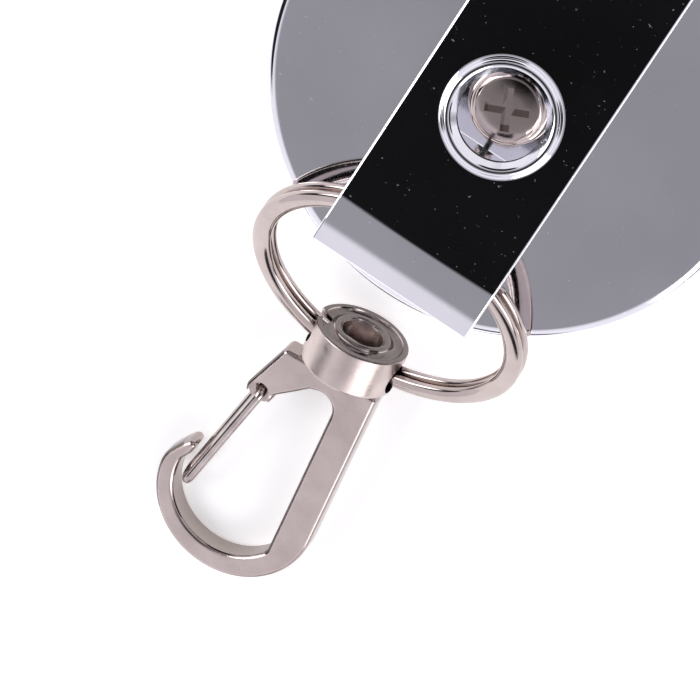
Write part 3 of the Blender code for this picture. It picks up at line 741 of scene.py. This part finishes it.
def nearest_turn(angle, low, high):
    """How far an angle lies outside a range of angles, 0 inside it, at most a quarter turn."""
    middle, half = (low + high) / 2, (high - low) / 2
    away = abs((angle - middle + math.pi) % (2 * math.pi) - math.pi)
    return min(max(away - half, 0.0), math.pi / 2)


def wire_tool():
    """The room that the curved wire takes in the head, over the whole tilt."""
    stations, around = 17, 48
    reach = HEAD_RADIUS + 0.6
    head = wire_frame()
    to_centre = head.inverted().to_3x3() @ (ring_frame().translation - head.translation)
    bow = math.atan2(to_centre.z, to_centre.y)
    sections = []
    for station in range(stations):
        x = -reach + 2 * reach * station / (stations - 1)
        shift = RING_RADIUS - math.sqrt(RING_RADIUS ** 2 - x * x)
        section = []
        for step in range(around):
            angle = 2 * math.pi * step / around
            off = nearest_turn(angle, bow + TILT_MIN, bow + TILT_MAX)
            radius = shift * math.cos(off) + math.sqrt(WIRE_HOLE ** 2 - (shift * math.sin(off)) ** 2)
            radius += abs(x) * 0.03
            section.append((x, radius * math.cos(angle), radius * math.sin(angle)))
        sections.append(section)
    return add_piece(lofted_mesh("wire", sections), head)


def swivel_head():
    """Turned button with a rim, a groove, a raised ring and a hollow, and a cross hole."""
    head = head_frame()
    bottom, top = -HEAD_BELOW_WIRE, HEAD_ABOVE_WIRE
    floor = bottom + HEAD_FLOOR
    outline = [(PIN_RADIUS + PIN_PLAY, bottom)]
    outline += arc((HEAD_RADIUS - 0.35, bottom + 0.35), 0.35, -90, 0, 6)
    outline += arc((HEAD_RADIUS - 0.16, top - 0.16), 0.16, 0, 90, 8)
    outline += arc((3.05, top + 0.25), 0.62, -25, -155, 14)
    outline += arc((2.2, top - 0.15), 0.32, 25, 155, 12)
    outline += arc((HEAD_WINDOW + 0.08, top - 0.12), 0.08, 90, 180, 4)
    outline += [(HEAD_WINDOW, floor), (PIN_HEAD + PIN_PLAY, floor), (PIN_RADIUS + PIN_PLAY, bottom + 0.2)]
    piece = turned("swivel_head", outline, 128, head)
    boolean(piece, wire_tool(), "DIFFERENCE")
    keep_flats_flat(piece)
    return piece


def pin():
    """Peened in the head's floor, and fast in the hook's platform."""
    hook = hook_frame()
    up_axis = -(hook.to_3x3() @ Vector((0, 1, 0)))
    x_axis = hook.to_3x3() @ Vector((1, 0, 0))
    place = frame_matrix(hook.translation, x_axis, up_axis.cross(x_axis), up_axis)
    floor = HOOK_GAP + HEAD_FLOOR
    outline = [(0.0, -0.95), (PIN_RADIUS, -0.95), (PIN_RADIUS, HOOK_GAP + 0.3)]
    outline += [(PIN_HEAD, floor - 0.17)] + arc((PIN_HEAD - 0.1, floor - 0.2), 0.1, 10, 90, 4)
    outline += [(0.5, floor - 0.07), (0.0, floor - 0.06)]
    return turned("swivel_pin_peened", outline, 64, place)


# ---------------------------------------------------------------- hook

def hook_outline():
    """Once round the hook: platform, spine, bow, nose, back inside, and the ear."""
    outline = arc((-4.85, 0.5), 0.5, 200, 270, 6) + arc((SPINE_OUTER - 0.45, 0.45), 0.45, -90, 0, 6)
    outline += arc(BOW_CENTRE, BOW_RADIUS, 0, 180, 60)
    outline += smooth_plan([(-11.0, 15.5), (-10.85, 14.75), (-10.45, 14.0), (-9.9, 13.1), (-9.45, 12.55)])
    outline += arc((-9.13, 12.86), 0.44, 225, 360, 9)
    outline += [(-8.85, 13.6)]
    outline += arc(BOW_INNER_CENTRE, BOW_INNER_RADIUS, 188, 44, 48)
    outline += arc((-0.25, 18.1), 0.85, 40, 0, 8)
    outline += arc(THROAT, THROAT_RADIUS, 0, -100, 14)
    outline += [(-1.9, 2.3), (-3.1, 3.4)]
    outline += arc(EAR, EAR_RADIUS, -10, 190, 28)
    return outline


def smooth_plan(points):
    """A smooth curve through flat points, without its two ends."""
    return [(p.x, p.y) for p in smooth_path([(a, b, 0) for a, b in points], 5)][1:-1]


def recess_outline():
    """Room for one leg of the gate over its whole swing."""
    closed = math.atan2(GATE_TIP[1] - EAR[1], GATE_TIP[0] - EAR[0])
    opened = closed - GATE_OPENING
    outline = arc(EAR, RECESS, math.degrees(closed) + 90, math.degrees(opened) + 270, 24)
    for side, angle in ((outline[-1], opened), (outline[0], closed)):
        outline.append((side[0] + 2.2 * math.cos(angle), side[1] + 2.2 * math.sin(angle)))
    return outline


def hook_body():
    """Die-cast hook with a flat satin face, polished edges and an ear for the gate."""
    place = hook_frame()
    half = HOOK_THICKNESS / 2
    piece = add_piece(extruded_mesh("hook_cast", hook_outline(), -half, half), place)
    bevel(piece, HOOK_BEVEL, 4, 50)
    for low, high in ((-3.0, -TANG), (TANG, 3.0)):
        boolean(piece, add_piece(extruded_mesh("relief", recess_outline(), low, high), place), "DIFFERENCE")
    at_ear = place @ Matrix.Translation((EAR[0], EAR[1], 0))
    boolean(piece, turned("hole", cylinder(EAR_HOLE, -3, 3), 48, at_ear), "DIFFERENCE")
    socket = place @ Matrix.Rotation(math.radians(-90), 4, "X")
    boolean(piece, turned("hole", cylinder(PIN_RADIUS + 0.1, -1.5, 1.0), 64, socket), "DIFFERENCE")
    keep_flats_flat(piece, 30.0)
    return piece


def hook_gate():
    """Hairpin of spring wire; its two ends turn in towards each other in the ear."""
    along = Vector((GATE_TIP[0] - EAR[0], GATE_TIP[1] - EAR[1], 0)).normalized()
    ear, tip = Vector((*EAR, 0)), Vector((*GATE_TIP, 0))
    lean = Vector((-along.y, along.x, 0)) * GATE_LEAN
    across = (Vector((0, 0, 1)) + lean).normalized()
    half = [ear + across * GATE_END]
    for step in range(9):
        angle = math.radians(90 * step / 8)
        half.append(ear + along * GATE_CORNER * (1 - math.cos(angle))
                    + across * (GATE_LEG - GATE_CORNER + GATE_CORNER * math.sin(angle)))
    root = tip - along * GATE_LEG
    for step in range(13):
        angle = math.radians(90 * step / 12)
        half.append(root + along * GATE_LEG * math.sin(angle) + across * GATE_LEG * math.cos(angle))
    middle = [ear + along * (point - ear).dot(along) for point in half]
    other = [2 * centre - point for point, centre in zip(half, middle)][-2::-1]
    return add_piece(tube_mesh("hook_gate_wire", half + other, GATE_WIRE, 20), hook_frame(), 60)


# ---------------------------------------------------------------- assembly

def dress(piece, material, body, replaces):
    """Give a piece its material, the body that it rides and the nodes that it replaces."""
    piece.data.materials.clear()
    piece.data.materials.append(material)
    if body is not None:
        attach(piece, body)
    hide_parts(*replaces)


def finish(piece, material, chosen):
    """Give the faces whose normal is chosen another material."""
    piece.data.materials.append(material)
    for face in piece.data.polygons:
        if chosen(face.normal):
            face.material_index = len(piece.data.materials) - 1


def build_object():
    chrome = chrome_material()
    polished = nickel_material("polished_nickel", 0.13, 0.10)
    satin = nickel_material("satin_nickel", 0.30, 0.30, 1.1)
    # This dark, glossy nickel is painted dark reflection, put on the head's top and on some of the hook's
    # walls
    painted_dark = nickel_material("nickel_painted_dark_reflection", 0.09, 0.15, 0.32)
    rolled = nickel_material("rolled_nickel", 0.07, 0.10, 0.88)
    # A darker copy of the hook's nickel for its walls and bevels: painted shade
    edges = nickel_material("edge_nickel_painted_shade", 0.10, 0.12, 0.74)
    wire, ribbon = wire_material(), spring_steel_material()
    acetal, braid = acetal_material(), braid_material()

    dress(case_back(), chrome, "case", ["back_shell"])
    dress(case_front(), chrome, "case", ["front_shell"])
    clip = belt_clip()
    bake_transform(clip)
    dress(clip, chrome, None, ["clip_base", "clip_tongue"])
    dress(screw(), polished, "case", ["clip_screw"])
    dress(washer(), polished, "case", ["screw_washer"])
    dress(eyelet(), polished, "case", ["outlet_eyelet"])
    dress(cord_lead(), braid, None, ["cord_lead"])
    dress(cord_loop(), braid, "cord_end", ["cord_loop"])
    dress(crimp(), polished, "cord_end", ["cord_crimp"])
    dress(split_ring(), rolled, "ring", ["split_ring"])
    head = swivel_head()
    dress(head, polished, "head", ["swivel_barrel"])
    up = axis_towards_case()
    finish(head, satin, lambda normal: abs(normal.dot(up)) < 0.3)
    # Painted dark reflection on every upward face of the head's top
    finish(head, painted_dark, lambda normal: normal.dot(up) > 0.5)
    dress(pin(), polished, "hook", ["swivel_pin"])
    hook = hook_body()
    # The hook's base material is the darker edge nickel, painted shade on its walls; its flat faces and its
    # -X walls get other tones below
    dress(hook, edges, "hook", ["hook_body"])
    flat, side = hook_frame().to_3x3() @ Vector((0, 0, 1)), hook_frame().to_3x3() @ Vector((-1, 0, 0))
    # Painted dark reflection on the hook's walls and bevels that face its -X side, the spine's inner wall
    # among them
    finish(hook, painted_dark, lambda normal: normal.dot(side) > 0.8 * (normal - normal.dot(flat) * flat).length)
    finish(hook, satin, lambda normal: abs(normal.dot(flat)) > 0.97)
    dress(hook_gate(), wire, "gate", ["hook_gate"])
    for node, material in (("center_post", wire), ("spool", acetal), ("spring_cover", acetal),
                           ("power_spring", ribbon), ("wound_cord", braid)):
        kept = frame["nodes"][node].data.materials
        kept.clear()
        kept.append(material)


# ---------------------------------------------------------------- stage, light and camera

def studio_floor():
    """Pale matt floor that glows a little, so that shadows on it stay faint."""
    mesh = bpy.data.meshes.new("studio_floor")
    side = 1.5
    mesh.from_pydata([(-side, -side, 0), (side, -side, 0), (side, side, 0), (-side, side, 0)], [],
                     [(0, 1, 2, 3)])
    floor = bpy.data.objects.new("studio_floor", mesh)
    bpy.context.collection.objects.link(floor)
    nodes = Nodes("pale_floor")
    nodes.set("Base Color", (0.93, 0.93, 0.93, 1.0))
    nodes.set("Roughness", 0.9)
    nodes.set("Specular IOR Level", 0.1)
    nodes.set("Emission Color", (1.0, 1.0, 1.0, 1.0))
    nodes.set("Emission Strength", 0.34)
    mesh.materials.append(nodes.material)


def studio_world():
    """A dark ceiling patch straight above, grey round it, then white, and dark cards low down."""
    world = bpy.data.worlds.new("studio")
    bpy.context.scene.world = world
    world.use_nodes = True
    tree = world.node_tree

    def maths(kind, first, second=0.0):
        node = tree.nodes.new("ShaderNodeMath")
        node.operation = kind
        for socket, value in zip(node.inputs, (first, second)):
            if isinstance(value, bpy.types.NodeSocket):
                tree.links.new(value, socket)
            else:
                socket.default_value = value
        return node.outputs[0]

    def angle_from(axis):
        node = tree.nodes.new("ShaderNodeVectorMath")
        node.operation = "DOT_PRODUCT"
        tree.links.new(direction, node.inputs[0])
        node.inputs[1].default_value = Vector(axis).normalized()
        return maths("DIVIDE", maths("ARCCOSINE", node.outputs["Value"]), math.pi / 2)

    def ramp(value, stops):
        node = tree.nodes.new("ShaderNodeValToRGB")
        tree.links.new(value, node.inputs["Fac"])
        while len(node.color_ramp.elements) < len(stops):
            node.color_ramp.elements.new(0.5)
        for element, (position, level) in zip(node.color_ramp.elements, stops):
            element.position = position
            element.color = (level, level * 0.995, level * 1.01, 1.0)
        return node.outputs["Color"]

    def shaded(colour, share):
        node = tree.nodes.new("ShaderNodeMix")
        node.data_type, node.blend_type = "RGBA", "MULTIPLY"
        node.inputs["Factor"].default_value = 1.0
        tree.links.new(colour, node.inputs[6])
        tree.links.new(share, node.inputs[7])
        return node.outputs[2]

    direction = tree.nodes.new("ShaderNodeTexCoord").outputs["Generated"]
    sky = ramp(angle_from((0, 0.06, 1)), [(0.0, 0.006), (0.09, 0.010), (0.15, 0.10), (0.22, 0.31),
                                          (0.34, 0.36), (0.44, 0.75), (0.60, 1.0), (1.0, 1.0)])
    for axis, half, depth in DARK_CARDS:
        edge = half / 90
        sky = shaded(sky, ramp(angle_from(axis), [(0.0, depth), (edge, depth), (edge + 0.05, 1.0)]))
    background = tree.nodes["Background"]
    tree.links.new(sky, background.inputs["Color"])
    background.inputs["Strength"].default_value = 1.0


def soft_light(name, place, aim, size, power):
    data = bpy.data.lights.new(name, "AREA")
    data.shape = "RECTANGLE"
    data.size, data.size_y = size
    data.energy = power
    light = bpy.data.objects.new(name, data)
    bpy.context.collection.objects.link(light)
    light.location = place
    light.rotation_euler = (Vector(aim) - Vector(place)).to_track_quat("-Z", "Y").to_euler()


def camera():
    """Nearly above the reel, leaning towards the clip's bend, and turned about its own axis."""
    lean, distance = math.radians(23.6), 300.0
    aim = Vector((0.15, -25.5, BACK))
    back = Vector((0, math.sin(lean), math.cos(lean)))
    down = Vector((0, -math.cos(lean), math.sin(lean)))
    side = Vector((1, 0, 0))
    roll = math.radians(33.54)
    right = math.cos(roll) * side - math.sin(roll) * down
    up = -math.sin(roll) * side - math.cos(roll) * down
    data = bpy.data.cameras.new("camera")
    data.sensor_width = 36.0
    seen = 56.0
    data.lens = data.sensor_width * distance / seen
    data.clip_start = 0.01
    eye = bpy.data.objects.new("camera", data)
    bpy.context.collection.objects.link(eye)
    eye.matrix_world = frame_matrix((aim + back * distance) * MM, right, up, back)
    bpy.context.scene.camera = eye


camera()
build_object()
studio_floor()
studio_world()
soft_light("left_soft_box", (-0.5, -0.1, 0.45), (0, -0.02, 0), (0.35, 0.5), 2.0)
soft_light("right_soft_box", (0.5, -0.25, 0.4), (0, -0.02, 0), (0.35, 0.5), 1.6)
bpy.context.scene.view_settings.view_transform = "Standard"
